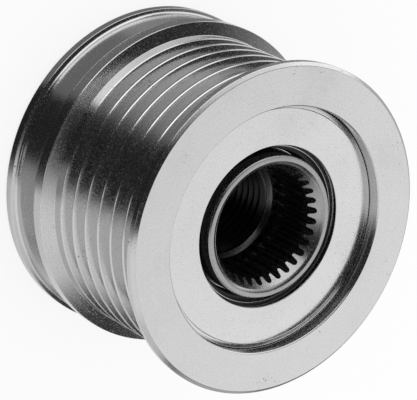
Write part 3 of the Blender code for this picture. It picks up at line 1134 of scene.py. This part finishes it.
    def _grow(
        self, name: str, pattern: type[Pattern], sizes: dict[str, object], sharp: float
    ) -> None:
        """Make a piece of the hub's steel with a pattern.

        Args:
            name: Name of the piece.
            pattern: Kind of pattern.
            sizes: What it is given by name, apart from its material.
            sharp: Angle in degrees past which an edge stays sharp.
        """
        steel = self.shop.dresser.materials[Slot.HUB]
        grower = pattern(f"{name}_pattern", {"Material": steel, **sizes})
        mesh = grower.bake(name, sharp)
        self.shop.dresser.piece(name, mesh, Slot.HUB, Body.HUB)


@dataclass
class ShaftSeal(SubAssembly):
    """A steel ring with a rubber lip that closes the gap round the hub.

    Attributes:
        name: front or rear.
        face: Depth of the steel ring's outer face.
        inward: 1 where the inside lies deeper, -1 where it lies nearer the front.
        outer: Outer radius of the ring.
        bore: Bore of the ring.
        bead: Width of the bead that stands up round the bore.
        bead_height: Height of the bead.
        thickness: Thickness of the ring.
        touch: Radius at which the lip ends at the hub.
        facing: Width of the dark rubber facing beside the bead, partly the seal's rubber and
            partly painted shade.
        seam: Gap between the facing and the steel.
        lip_width: Width of the lip.
        lip_length: Length of the lip.
    """

    name: str
    face: float
    inward: float
    outer: float = 18.80 * MM
    bore: float = 13.00 * MM
    bead: float = 0.24 * MM
    bead_height: float = 0.28 * MM
    thickness: float = 0.80 * MM
    touch: float = 11.98 * MM
    facing: float = 0.45 * MM
    seam: float = 0.005 * MM
    lip_width: float = 2.40 * MM
    lip_length: float = 1.60 * MM

    def build(self) -> None:
        """Make the ring, its rubber facing, which is partly painted shade, and its lip."""
        back = self.face + self.inward * self.thickness
        top = self.face - self.inward * self.bead_height
        skin = self.face - self.inward * 0.05 * MM
        corners = [
            (self.bore, top, 0.04 * MM),
            (self.bore + self.bead, top, 0.22 * MM),
            (self.bore + self.bead, self.face),
            (self.outer, self.face, 0.10 * MM),
            (self.outer, back, 0.10 * MM),
            (self.bore, back, 0.15 * MM),
        ]
        node = f"{self.name}_seal_ring"
        self.shop.turn(f"{self.name}_seal_plate", corners, Slot.SEAL, Body.PULLEY, node)
        # The facing is a thin dark rubber strip over the plate beside the bead: partly the seal's
        # rubber, partly painted shade for the gap round the hub.
        near = self.bore + self.bead + self.seam
        far = self.bore + self.bead + self.facing
        under = self.face - self.inward * self.seam
        corners = [(near, skin), (far, skin), (far, under), (near, under)]
        self.shop.turn(f"{self.name}_seal_facing", corners, Slot.RUBBER, Body.PULLEY)
        near = back + self.inward * 0.10 * MM
        end = near + self.inward * self.lip_length
        corners = [
            (self.touch + 0.40 * MM, near, 0.15 * MM),
            (self.touch + self.lip_width, near, 0.10 * MM),
            (self.touch + self.lip_width, near + self.inward * 0.70 * MM, 0.10 * MM),
            (self.touch + 0.80 * MM, end, 0.20 * MM),
            (self.touch, end, 0.12 * MM),
        ]
        node = f"{self.name}_seal_lip"
        self.shop.turn(f"{self.name}_rubber_lip", corners, Slot.RUBBER, Body.PULLEY, node)


@dataclass
class InnerWorks(SubAssembly):
    """The sealed bearings and clutch, whose nodes stay as they are."""

    def build(self) -> None:
        """Give every inner node its finish."""
        for node in sorted(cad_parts):
            slot = self._slot(node)
            if slot is not None:
                self.shop.dresser.carried_over(node, slot)

    @staticmethod
    def _slot(node: str) -> Slot | None:
        """Find a node's finish.

        Args:
            node: Name of the node.

        Returns:
            Its slot, or None for a node that a piece of the scene replaces.
        """
        if node.endswith("_cage"):
            return Slot.NYLON
        if node.startswith("clutch_spring"):
            return Slot.SPRING
        if "needle" in node or "roller" in node or "washer" in node:
            return Slot.BEARING
        return Slot.BEARING if node == "inner_ring" else None


@dataclass(frozen=True)
class Panel:
    """A stretch of the light tent with its own brightness.

    Attributes:
        middle: Direction of its middle in degrees round the axis.
        half: Half its width in degrees.
        low: Elevation of its lower edge in degrees.
        high: Elevation of its upper edge in degrees.
        level: Its brightness.
        soft: Width of its edges in degrees.
    """

    middle: float
    half: float
    low: float
    high: float
    level: float
    soft: float = 10.0

    def over(self, under: Wire, tree: Tree, place: tuple[Wire, Wire, Wire]) -> Wire:
        """Lay the panel over what the tent shows so far.

        Args:
            under: The brightness so far.
            tree: The tent's tree.
            place: The direction as a unit vector's X, Y and Z.

        Returns:
            The brightness with the panel.
        """
        x, y, z = place
        level = (x * x + y * y + 0.000001).root()
        turn = math.radians(self.middle)
        facing = (x * math.cos(turn) + y * math.sin(turn)) / level
        outer = math.cos(math.radians(min(self.half + self.soft / 2, 180.0)))
        inner = math.cos(math.radians(max(self.half - self.soft / 2, 0.0)))
        mask = facing.band(outer, inner) if self.half < 180.0 else 1.0
        for edge, sign in ((self.low, 1.0), (self.high, -1.0)):
            if abs(edge) < 90.0:
                start = math.sin(math.radians(edge - sign * self.soft / 2))
                stop = math.sin(math.radians(edge + sign * self.soft / 2))
                mask = z.band(start, stop) * mask
        return under + (self.level - under) * mask


@dataclass
class LightTent:
    """A tent round the pulley that lights only its gloss.

    Attributes:
        ground: Brightness where no panel hangs.
        panels: The panels, each over the ones before it.
        radius: Radius of the tent.
    """

    ground: float
    panels: Sequence[Panel]
    radius: float = 1.5

    def build(self) -> None:
        """Raise the tent."""
        bm = bmesh.new()
        bmesh.ops.create_icosphere(bm, subdivisions=3, radius=self.radius)
        mesh = to_mesh(bm, "light_tent")
        tent = new_object("light_tent", mesh)
        material, tree = new_material("tent_cloth")
        _, x, y, z = tree.place()
        size = (x * x + y * y + z * z).root()
        place = (x / size, y / size, z / size)
        level = place[2] * 0.0 + self.ground
        for panel in self.panels:
            level = panel.over(level, tree, place)
        shine = tree.add("ShaderNodeEmission", {"Color": tree.grey(level)})
        tree.add("ShaderNodeOutputMaterial", {"Surface": shine})
        mesh.materials.append(material)
        for ray in ("camera", "diffuse", "shadow", "transmission", "volume_scatter"):
            setattr(tent, f"visible_{ray}", False)


@dataclass
class Studio:
    """Floor, room light, tent and camera.

    Attributes:
        front: Height of the pulley's front face.
        tent: The light tent.
        lens: Focal length of the camera in millimetres.
        distance: Distance from the camera to the level of the point that it aims at.
        aim_depth: Depth of that point.
        left: How far the camera stands to its own left of that point.
        above: How far it stands above it.
        floor_radius: Radius of the floor.
        floor_white: Share of pure white that the camera sees in the floor.
    """

    front: float
    tent: LightTent
    lens: float = 224.46
    distance: float = 410.8 * MM
    aim_depth: float = 0.66 * MM
    left: float = 10.444 * MM
    above: float = 4.721 * MM
    floor_radius: float = 3.0
    floor_white: float = 0.8

    def build(self) -> None:
        """Set up everything round the pulley."""
        bpy.context.scene.view_settings.view_transform = "Standard"
        self._world()
        self._floor()
        self.tent.build()
        self._camera()

    @staticmethod
    def _world() -> None:
        """Light the room evenly in white."""
        world = bpy.data.worlds.new("white_room")
        world.use_nodes = True
        tree = Tree(world.node_tree)
        white = tree.add("ShaderNodeBackground", {"Color": WHITE})
        tree.add("ShaderNodeOutputWorld", {"Surface": white})
        bpy.context.scene.world = world
        world.cycles_visibility.glossy = False

    def _floor(self) -> None:
        """Lay the pale floor."""
        bm = bmesh.new()
        bmesh.ops.create_circle(bm, cap_ends=True, segments=64, radius=self.floor_radius)
        mesh = to_mesh(bm, "floor")
        floor = new_object("floor", mesh)
        material, tree = new_material("pale_floor")
        matt = tree.add("ShaderNodeBsdfDiffuse", {"Color": (0.97, 0.97, 0.97, 1.0)})
        white = tree.add("ShaderNodeEmission", {"Color": WHITE})
        seen = tree.add("ShaderNodeLightPath", {}, "Is Camera Ray")
        shader = tree.add(
            "ShaderNodeMixShader", {0: seen * self.floor_white, 1: matt, 2: white}
        )
        tree.add("ShaderNodeOutputMaterial", {"Surface": shader})
        mesh.materials.append(material)
        floor.visible_glossy = False

    def _camera(self) -> None:
        """Stand the camera where the photograph was taken."""
        tilt_sine, tilt_cosine = 0.76045, 0.64939
        roll_sine, roll_cosine = 0.89151, -0.45299
        back = Vector((0.0, -tilt_cosine, tilt_sine))
        side = Vector((1.0, 0.0, 0.0))
        rise = Vector((0.0, tilt_sine, tilt_cosine))
        right = side * roll_cosine + rise * roll_sine
        up = rise * roll_cosine - side * roll_sine
        aim = Vector((0.0, 0.0, self.front - self.aim_depth))
        place = aim - right * self.left + up * self.above + back * self.distance
        data = bpy.data.cameras.new("photo_camera")
        data.lens = self.lens
        data.sensor_width = 36.0
        camera = new_object("photo_camera", data)
        turn = Matrix((right, up, back)).transposed()
        camera.matrix_world = Matrix.Translation(place) @ turn.to_4x4()
        bpy.context.scene.camera = camera


# Each line gives a panel's middle, half width, low and high edge, level and softness.
PANELS = (
    Panel(0.0, 180.0, -90.0, -74.0, 0.05),
    Panel(150.0, 25.0, -72.0, -56.0, 0.34),
    Panel(345.0, 28.0, -72.0, -56.0, 0.34),
    Panel(35.0, 72.0, 33.0, 77.0, 0.88, 12.0),
    Panel(0.0, 22.0, -18.0, 60.0, 0.75, 14.0),
    Panel(128.0, 44.0, -45.0, 30.0, 0.55, 16.0),
    Panel(205.0, 100.0, 43.0, 90.0, 0.03, 10.0),
    Panel(156.0, 13.0, -42.0, 12.0, 1.00, 10.0),
    Panel(215.0, 30.0, -42.0, 8.0, 0.85, 12.0),
    Panel(208.0, 42.0, 18.0, 41.0, 0.95, 10.0),
    Panel(191.0, 60.0, 2.0, 22.0, 1.40, 8.0),
    Panel(218.0, 34.0, 2.0, 22.0, 1.80, 8.0),
    Panel(40.0, 80.0, -55.0, -41.0, 0.84, 9.0),
    Panel(336.0, 23.0, -46.0, 45.0, 0.95, 8.0),
    Panel(44.0, 17.0, 12.0, 50.0, 0.04, 14.0),
    Panel(44.0, 17.0, -20.0, 10.0, 0.55, 10.0),
    Panel(281.0, 29.0, -90.0, 90.0, 0.02, 8.0),
    Panel(303.0, 9.0, -2.0, 20.0, 0.70, 8.0),
    Panel(90.0, 24.0, 34.0, 52.0, 1.08, 14.0),
    Panel(0.0, 180.0, 85.0, 90.0, 0.45, 6.0),
)


def main() -> None:
    """Build the dressed pulley in its studio."""
    logging.basicConfig(level=logging.INFO, format="%(name)s: %(message)s")
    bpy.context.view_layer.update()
    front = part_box("pulley_ring")[1].z
    shop = Workshop(Lathe(front), Dresser())
    GroovedRing(shop).build()
    DrawnCup(shop).build()
    SplinedHub(shop).build()
    ShaftSeal(shop, "front", 3.74 * MM, 1.0).build()
    ShaftSeal(shop, "rear", 34.80 * MM, -1.0).build()
    InnerWorks(shop).build()
    Studio(front, LightTent(0.18, PANELS)).build()
    bpy.context.view_layer.update()


if __name__ == "__main__":
    main()
